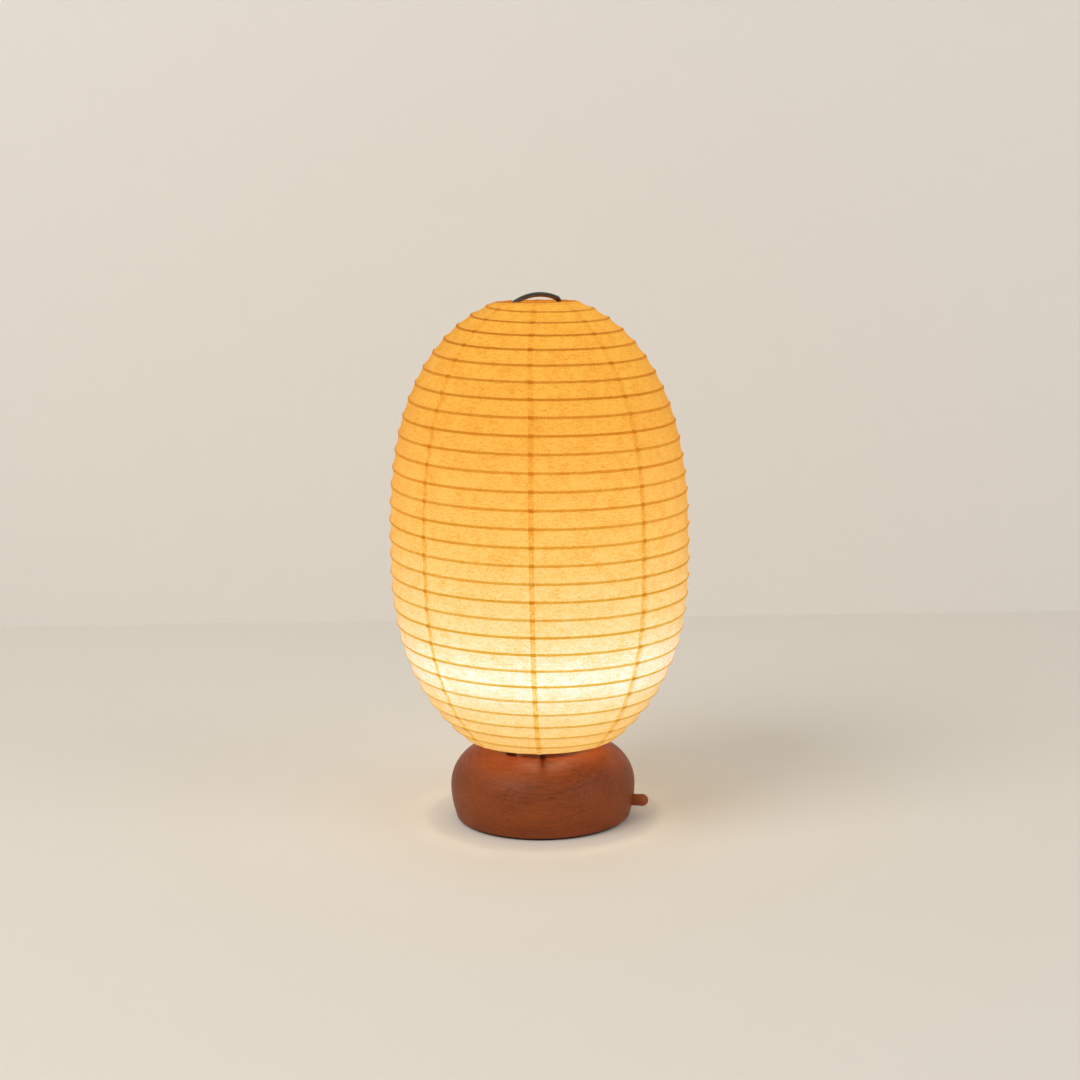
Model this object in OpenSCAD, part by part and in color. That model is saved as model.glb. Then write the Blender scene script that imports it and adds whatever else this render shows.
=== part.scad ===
// Table lamp: a ribbed paper lantern on a turned wooden base with a dimmer knob.
// Sizes are in millimetres. The origin is the middle of the underside, on the table.
// +Z is up, +X points to the knob, and +Y points to the cord inlet at the rear.

/* [Lantern outline] */
// Radius of the paper where it is widest
shade_r = 90; // [84:0.5:96]
// Height from the foot edge up to the widest place
shade_low_h = 114.5; // [108:0.5:122]
// Height from the widest place up to the mouth edge
shade_high_h = 150.5; // [142:0.5:160]
// Radius of the mouth edge
mouth_r = 22; // [21:0.25:25]
// Radius of the foot edge
foot_edge_r = 46.5; // [44:0.25:49]
// Clear height between the wooden base and the foot edge
shade_gap = 6.8; // [6:0.1:10]
// How full the curve above the widest place is
high_fullness = 2.63; // [2.3:0.01:2.9]
// How full the curve below the widest place is
low_fullness = 2.43; // [2.2:0.01:2.7]
// How square the upper curve turns in towards the mouth
high_shoulder = 2; // [1.9:0.01:2.2]
// How square the lower curve turns in towards the foot
low_shoulder = 1.82; // [1.75:0.01:2]

/* [Paper and ribs] */
// Thickness of the paper
paper_t = 0.4; // [0.3:0.05:0.7]
// Extra thickness where two gores overlap
lap_t = 0.3; // [0.2:0.05:0.6]
// Width of an overlap at the widest place
lap_w = 3; // [2:0.25:5]
// How far the paper draws in between two turns of the strand
paper_dip = 0.8; // [0.4:0.05:1.2]
// Distance between two turns of the strand, measured along the paper
rib_pitch = 10.52; // [10:0.02:13]
// Thickness of the bamboo strand
strand_d = 1.6; // [1.2:0.1:2]
// Space left for the paste between the paper and what it is pasted on
paste_gap = 0.25; // [0.2:0.05:0.4]
// Width of the hem that is pasted round each end ring
hem_w = 3; // [2.6:0.1:4]
// Thickness of the wire of the mouth ring
mouth_wire_d = 1.8; // [1.4:0.1:2.2]
// Thickness of the wire of the foot ring
foot_wire_d = 2.2; // [1.8:0.1:2.6]

/* [Harp] */
// Thickness of the harp's wire
harp_d = 3; // [2.5:0.1:3.3]
// Radius of the bow over the mouth, on the wire's centre line
bow_r = 48; // [42:1:60]
// Height of the bow's top above the mouth edge
bow_rise = 4.7; // [4:0.1:7]
// Radius of the bends where the bow turns down into the legs
bend_r = 4; // [3:0.25:6]
// Distance of the legs from the axis, in their sockets
leg_r = 26.5; // [25.75:0.25:28]
// Height above the sockets where the legs begin to draw together
leg_straight_h = 100; // [85:1:130]
// Wall of the stops under the mouth ring
stop_wall = 1.7; // [1.4:0.1:2]
// Length of the stops under the mouth ring
stop_l = 5; // [4:0.5:7]
// Space between the mouth ring and the harp
mouth_play = 0.5; // [0.3:0.1:0.8]

/* [Base] */
// Radius of the wooden base where it is widest
base_r = 56.4; // [55.5:0.1:60]
// Height of the wooden base's top above the table
base_h = 44.7; // [44:0.1:48]
// Height of its widest place above the table
belly_h = 20.4; // [19:0.1:22]
// Thickness of the felt pad
pad_t = 1.5; // [1:0.1:2]
// How far the pad's edge stands back from the wood
pad_setback = 2; // [1:0.1:4]
// Radius of the round recess in the top
recess_r = 31; // [30.6:0.1:32]
// Depth of the recess in the top
recess_d = 3; // [2:0.1:3.6]
// Wood left between the recess and the hollow
ceiling_t = 10.7; // [9:0.1:12]
// Wood left round the hollow where the base is widest
side_wall = 14.4; // [13.8:0.1:15]
// How far the bottom plate's edge stands in from the widest place
plate_setback = 8.4; // [7.8:0.1:8.8]
// Thickness of the bottom plate
plate_t = 2; // [1.5:0.1:2.4]
// Length of the bottom plate's screws
plate_screw_l = 11; // [8:0.5:14]

/* [Knob and dimmer] */
// Diameter of the wooden knob's round end
knob_d = 7.4; // [7:0.1:8]
// Diameter of the knob's shank
shank_d = 7.2; // [6.4:0.1:7.2]
// How far the knob stands out of the wood
knob_out = 9.6; // [8:0.1:14]
// Height of the knob's axis above the table
knob_h = 11.2; // [10.3:0.1:12]
// Angle by which the knob stands forward of the lamp's right side
knob_forward = 10; // [0:1:16]
// Height of the cord inlet's axis above the table
inlet_h = 10.5; // [10:0.1:12]
// Space round the knob in its hole
knob_play = 0.35; // [0.3:0.05:0.6]
// Diameter of the dimmer's shaft
shaft_d = 4; // [3:0.1:4.4]
// Radial clearance between the shaft and its bushing
shaft_fit = 0.05; // [0.03:0.01:0.08]
// Depth to which the shaft reaches into the knob
shaft_in_knob = 13; // [10:0.5:15]
// Diameter of the dimmer's body
dimmer_d = 13; // [12:0.1:13]
// Depth of the dimmer's body
dimmer_depth = 11; // [9:0.5:12]
// Diameter of the dimmer's threaded bushing
bushing_d = 7; // [6.6:0.1:7.6]
// Length of the bushing in front of the body
bushing_l = 8; // [7:0.5:9]
// Width of the dimmer's bracket
bracket_w = 18; // [16:0.5:22]
// Length of the bracket's foot under the ceiling
bracket_foot = 14; // [13:0.5:16]
// Thickness of the bracket's steel
bracket_t = 1.2; // [1:0.1:1.6]

/* [Lamp holder] */
// Thickness of the shade carrier's steel
carrier_t = 1.2; // [1:0.1:1.5]
// Width of the carrier's arms
arm_w = 3.2; // [2.8:0.2:5]
// Height by which the carrier's arms clear the rim of the recess
arm_over_rim = 1.5; // [1:0.1:2]
// Outer diameter of the legs' sockets
socket_d = 6.4; // [6:0.1:6.8]
// Height of the legs' sockets
socket_h = 14; // [10:0.5:18]
// Radial clearance between the legs and their sockets
leg_fit = 0.1; // [0.08:0.02:0.2]
// Diameter of the threaded nipple
nipple_d = 10; // [9:0.5:10]
// Diameter of the nipple's bore
nipple_bore = 7; // [6.4:0.1:7.4]
// Height of the nipple's nut
nut_h = 5; // [4:0.5:6]
// Outer diameter of the lamp holder's shell
holder_d = 28; // [27:0.5:30]
// Wall of the lamp holder's shell
holder_wall = 2; // [1.6:0.1:2.4]
// Thickness of the holder's floor, which the nipple screws into
holder_floor = 5; // [4:0.5:6]
// Height of the wiring space above that floor
wiring_h = 2.1; // [1.8:0.1:3]

/* [Bulb] */
// Diameter of the bulb's screw cap
cap_d = 14; // [13.4:0.1:14.2]
// Length of the bulb's screw cap
cap_l = 19.5; // [18:0.5:22]
// Radial clearance between the bulb's cap and the holder's screw shell
cap_fit = 0.08; // [0.05:0.01:0.1]
// Diameter of the bulb's globe
globe_d = 45; // [43:0.5:46]
// Height of the globe's centre above the cap
neck_h = 27; // [25:0.5:32]
// Thickness of the globe
globe_wall = 1.2; // [0.8:0.1:1.6]
// Depth of the globe's cut below its centre, where the housing begins
globe_cut = 15; // [13:0.5:16]

/* [Hidden] */
$fn = 96;

// Space between pieces that rest on or in each other
seat = 0.3;
// Small clearance of a fixed piece in its hole
snug = 0.05;
// Excess by which a cut passes the face that it opens
past = 1;

paper_colour = [1, 0.87, 0.62];
bamboo_colour = [0.72, 0.5, 0.26];
wood_colour = [0.45, 0.21, 0.09];
steel_colour = [0.72, 0.73, 0.75];
brass_colour = [0.82, 0.65, 0.32];
black_colour = [0.08, 0.08, 0.08];
white_colour = [0.93, 0.92, 0.88];

// Meridian of the lantern: radius and height, from the mouth edge down to the foot edge
foot_z = base_h + shade_gap;
mid_z = foot_z + shade_low_h;
mouth_z = mid_z + shade_high_h;
function full_reach(rise, end_r, fullness, shoulder) =
    rise / pow(1 - pow(end_r / shade_r, shoulder), 1 / fullness);
high_reach = full_reach(shade_high_h, mouth_r, high_fullness, high_shoulder);
low_reach = full_reach(shade_low_h, foot_edge_r, low_fullness, low_shoulder);
function curve_r(rise, reach, fullness, shoulder) =
    shade_r * pow(1 - pow(rise / reach, fullness), 1 / shoulder);
function outline_r(z) = z > mid_z
    ? curve_r(z - mid_z, high_reach, high_fullness, high_shoulder)
    : curve_r(mid_z - z, low_reach, low_fullness, low_shoulder);
outline_steps = 400;
outline = [for (i = [0:outline_steps])
    let (z = mouth_z - (mouth_z - foot_z) * i / outline_steps) [outline_r(z), z]];
arc_length = [for (i = 0, s = 0; i <= outline_steps;
    s = s + (i < outline_steps ? norm(outline[i + 1] - outline[i]) : 0), i = i + 1) s];
r_by_length = [for (i = [0:outline_steps]) [arc_length[i], outline[i][0]]];
z_by_length = [for (i = [0:outline_steps]) [arc_length[i], outline[i][1]]];
shade_l = arc_length[outline_steps];
function on_outline(s) = [lookup(s, r_by_length), lookup(s, z_by_length)];
// A point at length s from the mouth edge, and a distance outside the outline
slope_step = 1;
function skin_normal(s) =
    let (a = on_outline(max(s - slope_step, 0)), b = on_outline(min(s + slope_step, shade_l)))
    let (t = (b - a) / norm(b - a)) [-t[1], t[0]];
function on_skin(s, out) = on_outline(s) + skin_normal(s) * out;

// The strand climbs once round per rib pitch and starts at the front of the mouth
gores = 8;
gore_angle = 360 / gores;
lap_angle = lap_w / shade_r * 180 / PI;
// Angle left open between two gores, and how far an overlap stays back from the edges
seam_open = 0.1;
lap_setback = 0.3;
seam_turn = -94;
strand_turn = -90;
function gore_middle(g) = seam_turn + gore_angle * (g + 0.5);
// Length at which the strand first crosses the middle of a gore
function gore_phase(g) =
    let (turns = (gore_middle(g) - strand_turn) / 360) rib_pitch * (turns - floor(turns));
// The paper is held by the hems and by each turn of the strand, and draws in between them
function support_before(s, phase) =
    max(hem_w, phase + rib_pitch * floor((s - phase) / rib_pitch));
function support_after(s, phase) =
    min(shade_l - hem_w, phase + rib_pitch * (floor((s - phase) / rib_pitch) + 1));
function dip(s, phase) =
    let (a = support_before(s, phase), b = support_after(s, phase))
    s <= hem_w || s >= shade_l - hem_w || b <= a ? 0
    : paper_dip * pow((b - a) / rib_pitch, 2) * 4 * (s - a) * (b - s) / pow(b - a, 2);
points_per_rib = 4;
function reversed(list) = [for (i = [len(list) - 1:-1:0]) list[i]];
function skin_stations(phase) =
    let (step = rib_pitch / points_per_rib, first = phase - step * floor((phase - hem_w) / step))
    concat([0, hem_w], [for (s = [first + step / 2:step:shade_l - hem_w - step / 4]) s - step / 2],
    [shade_l - hem_w, shade_l]);
// Outline of a strip of paper between two distances outside the skin, kept back from both edges
function skin_strip(phase, outer, inner, back) =
    let (stations = [for (s = skin_stations(phase)) min(max(s, back), shade_l - back)])
    concat([for (s = stations) on_skin(s, outer - dip(s, phase))],
        reversed([for (s = stations) on_skin(s, inner - dip(s, phase))]));

// Rings, and the strand's place under the paper
mouth_ring_at = on_skin(mouth_wire_d / 2 + seat, -paper_t - paste_gap - mouth_wire_d / 2);
foot_ring_at = on_skin(shade_l - foot_wire_d / 2 - seat, -paper_t - paste_gap - foot_wire_d / 2);
phase_slack = paper_dip * 4 * (0.5 / gores) * (1 - 0.5 / gores);
strand_inset = paper_t + paste_gap + phase_slack + strand_d / 2;
strand_rings = 24;
strand_sides = 6;
strand_from = hem_w + strand_d;
strand_to = shade_l - hem_w - strand_d;
strand_count = floor((strand_to - strand_from) / rib_pitch * strand_rings);
function strand_point(i) =
    let (s = strand_from + rib_pitch * i / strand_rings)
    let (a = strand_turn + 360 * s / rib_pitch, p = on_skin(s, -strand_inset))
    [p[0] * cos(a), p[0] * sin(a), p[1]];
strand_core = [for (i = [0:strand_count]) strand_point(i)];
function unit(v) = v / norm(v);
// Both ends run straight on for one diameter
function run_on(last, before) = last + unit(last - before) * strand_d;
strand_line = concat([run_on(strand_core[0], strand_core[1])], strand_core,
    [run_on(strand_core[strand_count], strand_core[strand_count - 1])]);
turn_gaps = [for (i = [0:strand_count - strand_rings], j = [-1:1])
    if (i + strand_rings + j <= strand_count)
        norm(strand_core[i + strand_rings + j] - strand_core[i]) - strand_d];
echo(turns = strand_count / strand_rings, least_gap_between_turns = min(turn_gaps));

// Harp: a bow over the mouth, two bends, and legs that spread down to their sockets
harp_turn = 45;
neck_r = mouth_ring_at[0] - mouth_wire_d / 2 - mouth_play - harp_d / 2;
bow_z = mouth_z + bow_rise - harp_d / 2 - bow_r;
bend_z = bow_z + sqrt(pow(bow_r - bend_r, 2) - pow(neck_r - bend_r, 2));
bow_angle = asin((neck_r - bend_r) / (bow_r - bend_r));
stop_top = mouth_ring_at[1] - mouth_wire_d / 2 - seat;
neck_end_z = stop_top - stop_l - 2;

// Base, from the table up
shoulder_r = base_h - belly_h;
hollow_r = base_r - side_wall;
plate_r = base_r - plate_setback;
plate_screw_pcr = (hollow_r + plate_r) / 2 + 0.2;
wood_z = pad_t;
plate_top = wood_z + plate_t;
recess_z = base_h - recess_d;
ceiling_z = recess_z - ceiling_t;
function base_side_r(z) = sqrt(pow(base_r, 2) - pow(z - belly_h, 2));
rim_break = 0.6;
plate_screws_n = 3;
plate_screw_turn = 30;
screw_d = 2.9;
screw_head_d = 5.6;
screw_head_h = 1.6;

// Knob and dimmer
knob_tip = base_side_r(knob_h) + knob_out;
knob_hole_r = knob_d / 2 + knob_play;
bushing_end = hollow_r - 1;
bracket_x = bushing_end - bushing_l;
knob_start = bushing_end + seat;
shaft_end = knob_start + shaft_in_knob;
shaft_start = bracket_x - dimmer_depth / 2;
washer_t = 0.5;
dimmer_nut_h = 2.2;
dimmer_nut_af = 10;
bracket_screw_l = 8;
tag_l = 2.4;
tag_w = 1.8;
tag_t = 0.5;
tag_pitch = 3;

// Cord inlet, along +Y
grommet_bore_r = 3.2;
grommet_r = 4.4;
grommet_flange_r = 6;
grommet_flange_t = 2;
inlet_seat = base_side_r(inlet_h) - 1.2;

// Terminal block under the ceiling
block_size = [18, 12, 13];
block_y = 27;
block_front = block_y - block_size[1] / 2;
block_bottom = ceiling_z - block_size[2];
block_counterbore = 2;
block_screw_l = block_size[2] + 6;
pole_x = 4.5;
pole_r = 1.6;
pole_z = ceiling_z - 8;
terminal_y = 3;
terminal_screw_r = 1.2;
terminal_screw_out = 0.4;

// Leads inside the base
lead_d = 2;
lead_sides = 8;
lead_steps = 4;
tag_x = bracket_x - dimmer_depth - tag_l;
nipple_lead_y = 1.6;
// Places that the leads pass on their way round the nipple
feed_turn = [0.29 * hollow_r, 11, 0.45 * ceiling_z];
switched_turn = [8, -6, 0.355 * ceiling_z];
switched_rise = [2, -4, 0.485 * ceiling_z];
return_turn = [-2, 8, 0.485 * ceiling_z];

// Lamp holder and bulb, from the recess up
carrier_top = recess_z + carrier_t;
carrier_r = leg_r + socket_d / 2 + seat;
// Space round the carrier's arms, and how far a lip stands up beside the foot ring
arm_clear = 0.45;
lip_rise = 0.8;
nipple_hole_r = nipple_d / 2 + 0.2;
holder_z = carrier_top;
floor_top = holder_z + holder_floor;
core_z = floor_top + wiring_h;
lead_end_z = core_z - seat;
core_floor = 3;
contact_rise = 1.3;
contact_t = 0.5;
cap_tip_z = core_z + core_floor + contact_rise + 0.2;
tip_h = 0.6;
insulator_h = 1.9;
cap_z = cap_tip_z + tip_h + insulator_h;
cap_top = cap_z + cap_l;
globe_z = cap_top + neck_h;
cap_wall = 0.4;
cap_bottom_r = cap_d / 2 - 2.4;
housing_top = globe_z - globe_cut;
housing_r = sqrt(pow(globe_d / 2, 2) - pow(globe_cut, 2));
board_t = 1.2;
board_seat_z = housing_top - 1;
board_seat_r = housing_r - 2;
shell_t = 0.5;
shell_r = cap_d / 2 + cap_fit;
core_bore_r = shell_r + shell_t + snug;
core_r = holder_d / 2 - holder_wall - 0.2;
core_top = cap_top - 5;
holder_top = cap_top - 0.4;
nipple_washer_t = 1.2;
nipple_bottom = ceiling_z - nipple_washer_t - nut_h - 2;
nipple_top = floor_top - 0.5;
socket_floor = 1.2;
leg_end_z = carrier_top + socket_floor + 0.2;
knee_z = carrier_top + socket_h + leg_straight_h;

// Sub-part: felt pad under the whole foot
module foot_pad() {
    color(black_colour)
    cylinder(r = base_side_r(wood_z) - pad_setback, h = pad_t);
}

// Turned profile: a side that is part of a sphere, a round shoulder and a flat top
module base_profile() {
    intersection() {
        translate([0, belly_h]) circle(r = base_r, $fn = 180);
        translate([0, wood_z]) square([base_r, belly_h - wood_z]);
    }
    translate([0, belly_h]) square([base_r - shoulder_r, shoulder_r]);
    intersection() {
        translate([base_r - shoulder_r, belly_h]) circle(r = shoulder_r, $fn = 180);
        translate([base_r - shoulder_r, belly_h]) square(shoulder_r);
    }
}

module plate_screw_places() {
    for (i = [0:plate_screws_n - 1])
        rotate([0, 0, plate_screw_turn + i * 360 / plate_screws_n])
        translate([plate_screw_pcr, 0, wood_z]) children();
}

// Everything of the knob and the dimmer is drawn along +X, then turned forward to the knob's place
module knob_side() {
    rotate([0, 0, -knob_forward]) children();
}

module along_knob(x) {
    knob_side() translate([x, 0, knob_h]) rotate([0, 90, 0]) children();
}

module along_y(x, y, z) {
    translate([x, y, z]) rotate([-90, 0, 0]) children();
}

// Countersunk wood screw, head down, standing on z = 0
module wood_screw(l, grow) {
    cylinder(r1 = screw_head_d / 2 + grow, r2 = screw_d / 2 + grow, h = screw_head_h);
    cylinder(r = screw_d / 2 + grow, h = l + grow);
}

module base_body() {
    color(wood_colour)
    difference() {
        rotate_extrude($fn = 180) base_profile();
        translate([0, 0, recess_z]) cylinder(r = recess_r, h = recess_d + past);
        translate([0, 0, base_h - rim_break])
            cylinder(r1 = recess_r, r2 = recess_r + rim_break + past, h = rim_break + past);
        translate([0, 0, wood_z - past]) cylinder(r = plate_r + 0.15, h = plate_t + past);
        translate([0, 0, wood_z]) cylinder(r = hollow_r, h = ceiling_z - wood_z);
        translate([0, 0, ceiling_z - past]) cylinder(r = nipple_hole_r, h = ceiling_t + 2 * past);
        plate_screw_places() wood_screw(plate_screw_l, snug);
        along_knob(hollow_r - 4) cylinder(r = knob_hole_r, h = base_r);
        along_y(0, hollow_r - 4, inlet_h) cylinder(r = grommet_r + snug, h = base_r);
        along_y(0, inlet_seat, inlet_h) cylinder(r = grommet_flange_r + seat, h = base_r);
        bracket_screw_places() wood_screw(bracket_screw_l, snug);
        block_screw_place() cylinder(r = screw_d / 2 + snug, h = block_screw_l + snug);
    }
}

module bottom_plate() {
    color(steel_colour)
    difference() {
        translate([0, 0, wood_z]) cylinder(r = plate_r, h = plate_t);
        plate_screw_places() wood_screw(plate_screw_l, snug);
    }
}

module plate_screws() {
    color(steel_colour)
    plate_screw_places() wood_screw(plate_screw_l, 0);
}

// Grommet that lines the cord's way in, with its flange in a flat seat
module cord_grommet() {
    color(black_colour)
    difference() {
        union() {
            along_y(0, hollow_r - 1, inlet_h) cylinder(r = grommet_r, h = inlet_seat - hollow_r + 1);
            along_y(0, inlet_seat, inlet_h)
                cylinder(r1 = grommet_flange_r, r2 = grommet_flange_r - 1, h = grommet_flange_t);
        }
        along_y(0, hollow_r - 2, inlet_h) cylinder(r = grommet_bore_r, h = base_r);
    }
}

module block_screw_place() {
    translate([0, block_y, block_bottom + block_counterbore]) children();
}

module terminal_block() {
    color(white_colour)
    difference() {
        translate([-block_size[0] / 2, block_front, block_bottom]) cube(block_size);
        for (x = [-pole_x, pole_x]) {
            along_y(x, block_front - past, pole_z) cylinder(r = pole_r, h = block_size[1] + 2 * past);
            for (y = [-terminal_y, terminal_y])
                translate([x, block_y + y, block_bottom - past])
                    cylinder(r = terminal_screw_r + snug, h = pole_z - block_bottom + past);
        }
        translate([0, block_y, block_bottom - past])
            cylinder(r = screw_d / 2 + snug, h = block_size[2] + 2 * past);
        translate([0, block_y, block_bottom - past])
            cylinder(r = screw_head_d / 2 + snug, h = block_counterbore + screw_head_h + past);
    }
}

module terminal_screws() {
    from = block_bottom - terminal_screw_out;
    color(steel_colour)
    for (x = [-pole_x, pole_x], y = [-terminal_y, terminal_y])
        translate([x, block_y + y, from])
            cylinder(r = terminal_screw_r, h = pole_z - lead_d / 2 - seat - from);
}

module block_screw() {
    color(steel_colour)
    block_screw_place() {
        cylinder(r = screw_head_d / 2, h = screw_head_h);
        cylinder(r = screw_d / 2, h = block_screw_l);
    }
}

module bracket_screw_places() {
    for (y = [-1, 1])
        knob_side()
        translate([bracket_x - bracket_foot * 0.6, y * bracket_w * 0.3,
            ceiling_z - bracket_t - screw_head_h]) children();
}

// Bent steel bracket: a foot under the ceiling and a face that holds the dimmer
module dimmer_bracket() {
    face_bottom = knob_h - dimmer_d / 2;
    color(steel_colour)
    difference() {
        knob_side() {
            translate([bracket_x, -bracket_w / 2, face_bottom])
                cube([bracket_t, bracket_w, ceiling_z - face_bottom]);
            translate([bracket_x - bracket_foot, -bracket_w / 2, ceiling_z - bracket_t])
                cube([bracket_foot + bracket_t, bracket_w, bracket_t]);
        }
        along_knob(bracket_x - past) cylinder(r = bushing_d / 2 + snug, h = bracket_t + 2 * past);
        bracket_screw_places() cylinder(r = screw_d / 2 + snug, h = bracket_screw_l);
    }
}

module bracket_screws() {
    color(steel_colour)
    bracket_screw_places() {
        cylinder(r = screw_head_d / 2, h = screw_head_h);
        cylinder(r = screw_d / 2, h = bracket_screw_l);
    }
}

// Rotary dimmer: round body, threaded bushing and three solder tags
module dimmer_body() {
    color(black_colour)
    difference() {
        union() {
            along_knob(bracket_x - dimmer_depth) cylinder(d = dimmer_d, h = dimmer_depth);
            along_knob(bracket_x - 1) cylinder(d = bushing_d, h = bushing_l + 1);
            for (i = [-1:1])
                knob_side()
                translate([tag_x, i * tag_pitch - tag_w / 2, knob_h - tag_t / 2])
                    cube([tag_l + 1, tag_w, tag_t]);
        }
        along_knob(shaft_start - seat)
            cylinder(r = shaft_d / 2 + shaft_fit, h = dimmer_depth + bushing_l);
    }
}

module dimmer_washer() {
    color(steel_colour)
    difference() {
        along_knob(bracket_x + bracket_t) cylinder(r = dimmer_nut_af * 0.55, h = washer_t);
        along_knob(bracket_x) cylinder(r = bushing_d / 2 + snug, h = bushing_l);
    }
}

module dimmer_nut() {
    color(steel_colour)
    difference() {
        along_knob(bracket_x + bracket_t + washer_t)
            cylinder(r = dimmer_nut_af / 2 / cos(30), h = dimmer_nut_h, $fn = 6);
        along_knob(bracket_x) cylinder(r = bushing_d / 2 + snug, h = bushing_l);
    }
}

module dimmer_shaft() {
    color(steel_colour)
    along_knob(shaft_start) cylinder(d = shaft_d, h = shaft_end - shaft_start);
}

// Turned wooden peg with a ball at its end, drilled to fit over the shaft
module knob() {
    ball_x = knob_tip - knob_d / 2;
    color(wood_colour)
    difference() {
        union() {
            along_knob(knob_start) cylinder(d = shank_d, h = ball_x - knob_start);
            along_knob(ball_x) sphere(d = knob_d);
        }
        along_knob(knob_start - past)
            cylinder(r = shaft_d / 2 + snug, h = shaft_end - knob_start + past + seat);
    }
}

// A lead swept along points chosen by hand, smoothed by a spline through them
function spline(p, i, t) =
    let (a = p[max(i - 1, 0)], b = p[i], c = p[i + 1], d = p[min(i + 2, len(p) - 1)])
    0.5 * (2 * b + (c - a) * t + (2 * a - 5 * b + 4 * c - d) * t * t + (3 * b - a - 3 * c + d) * t * t * t);
function smooth_line(p) = concat(
    [for (i = [0:len(p) - 2], k = [0:lead_steps - 1]) spline(p, i, k / lead_steps)],
    [p[len(p) - 1]]);
// Solid tube of flat sides along a line: each ring is square to the line, with one side kept upright
function ring_axes(line, i, up) =
    let (t = unit(line[min(i + 1, len(line) - 1)] - line[max(i - 1, 0)]))
    let (u = unit(cross(t, up)), v = cross(u, t)) [u, v];
module tube(line, r, sides, up) {
    rings = len(line);
    points = [for (i = [0:rings - 1], k = [0:sides - 1])
        let (axes = ring_axes(line, i, up), a = 360 * k / sides)
        line[i] + (axes[0] * cos(a) + axes[1] * sin(a)) * r];
    walls = [for (i = [0:rings - 2], k = [0:sides - 1])
        let (m = (k + 1) % sides, low = i * sides, high = low + sides)
        each [[low + k, high + k, high + m], [low + k, high + m, low + m]]];
    first_end = [for (k = [1:sides - 2]) [0, k, k + 1]];
    last = (rings - 1) * sides;
    last_end = [for (k = [1:sides - 2]) [last, last + k + 1, last + k]];
    polyhedron(points = points, faces = concat(walls, first_end, last_end));
}

// Point beside the dimmer's tags: how far beyond their ends, and how far across
function by_tag(ahead, across) =
    let (x = tag_x + ahead)
    [x * cos(knob_forward) + across * sin(knob_forward),
        across * cos(knob_forward) - x * sin(knob_forward), knob_h];

module lead(points) {
    tube(smooth_line(points), lead_d / 2, lead_sides, [0.31, 0.17, 0.93]);
}

module feed_lead() {
    color([0.4, 0.2, 0.1])
    lead([[pole_x, block_y, pole_z], [pole_x, block_front - 1, pole_z],
        [pole_x + 1, block_front - 5, pole_z - 2], feed_turn,
        by_tag(-3, 2 * tag_pitch), by_tag(-1.5, tag_pitch)]);
}

module switched_lead() {
    color([0.1, 0.2, 0.45])
    lead([by_tag(-1.5, -tag_pitch), by_tag(-3.5, -2 * tag_pitch + 1), switched_turn, switched_rise,
        [0, -nipple_lead_y, nipple_bottom - 2], [0, -nipple_lead_y, ceiling_z],
        [0, -nipple_lead_y, lead_end_z]]);
}

module return_lead() {
    color([0.1, 0.2, 0.45])
    lead([[-pole_x, block_y, pole_z], [-pole_x, block_front - 1, pole_z],
        [-pole_x, block_front - 5, pole_z - 3], return_turn,
        [0, nipple_lead_y + 1, nipple_bottom - 4], [0, nipple_lead_y, nipple_bottom + 2],
        [0, nipple_lead_y, ceiling_z], [0, nipple_lead_y, lead_end_z]]);
}

module pipe(r, bore_r, z, h) {
    translate([0, 0, z])
    difference() {
        cylinder(r = r, h = h);
        translate([0, 0, -past]) cylinder(r = bore_r, h = h + 2 * past);
    }
}

module nipple() {
    color(brass_colour)
    pipe(nipple_d / 2, nipple_bore / 2, nipple_bottom, nipple_top - nipple_bottom);
}

module nipple_washer() {
    color(steel_colour)
    pipe(nipple_d + 1, nipple_hole_r, ceiling_z - nipple_washer_t, nipple_washer_t);
}

module nipple_nut() {
    color(steel_colour)
    difference() {
        translate([0, 0, ceiling_z - nipple_washer_t - nut_h])
            cylinder(r = nipple_d * 0.7 / cos(30), h = nut_h, $fn = 6);
        translate([0, 0, nipple_bottom]) cylinder(r = nipple_d / 2 + snug, h = nut_h + 6);
    }
}

// Outline of a bent strip: a line of corners thickened to both sides
function strip_side(line, half) = [for (i = [0:len(line) - 1])
    let (a = unit(line[max(i, 1)] - line[max(i, 1) - 1]))
    let (b = unit(line[min(i + 1, len(line) - 1)] - line[min(i, len(line) - 2)]))
    let (n = unit([-a[1] - b[1], a[0] + b[0]]))
    line[i] + n * half / (n * [-a[1], a[0]])];
function strip(line, t) = concat(strip_side(line, t / 2), reversed(strip_side(line, -t / 2)));

// Pressed steel carrier: a disc clamped under the lamp holder, and four arms that seat the foot ring
module shade_carrier() {
    mid = recess_z + carrier_t / 2;
    seat_z = foot_ring_at[1] - foot_wire_d / 2 - seat - carrier_t / 2;
    lip_r = foot_ring_at[0] - foot_wire_d / 2 - seat - carrier_t / 2;
    riser_r = recess_r - carrier_t - arm_clear;
    end_r = on_skin(shade_l, -paper_t)[0] - arm_clear;
    joggle = 4;
    arm = [[leg_r - joggle, mid], [riser_r, mid], [riser_r, base_h + arm_over_rim],
        [lip_r - joggle, seat_z - carrier_t], [lip_r, seat_z], [end_r, seat_z]];
    lip = [[lip_r, seat_z], [lip_r, foot_ring_at[1] + lip_rise]];
    color(steel_colour)
    difference() {
        union() {
            translate([0, 0, recess_z]) cylinder(r = carrier_r, h = carrier_t);
            for (a = [0:90:270])
                rotate([90, 0, a])
                translate([0, 0, -arm_w / 2]) {
                    linear_extrude(arm_w) polygon(strip(arm, carrier_t));
                    translate([0, 0, arm_w / 4]) linear_extrude(arm_w / 2) polygon(strip(lip, carrier_t));
                }
        }
        translate([0, 0, recess_z - past]) cylinder(r = nipple_hole_r, h = carrier_t + 2 * past);
    }
}

module harp_places() {
    for (a = [0, 180]) rotate([0, 0, harp_turn + a]) children();
}

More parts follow.
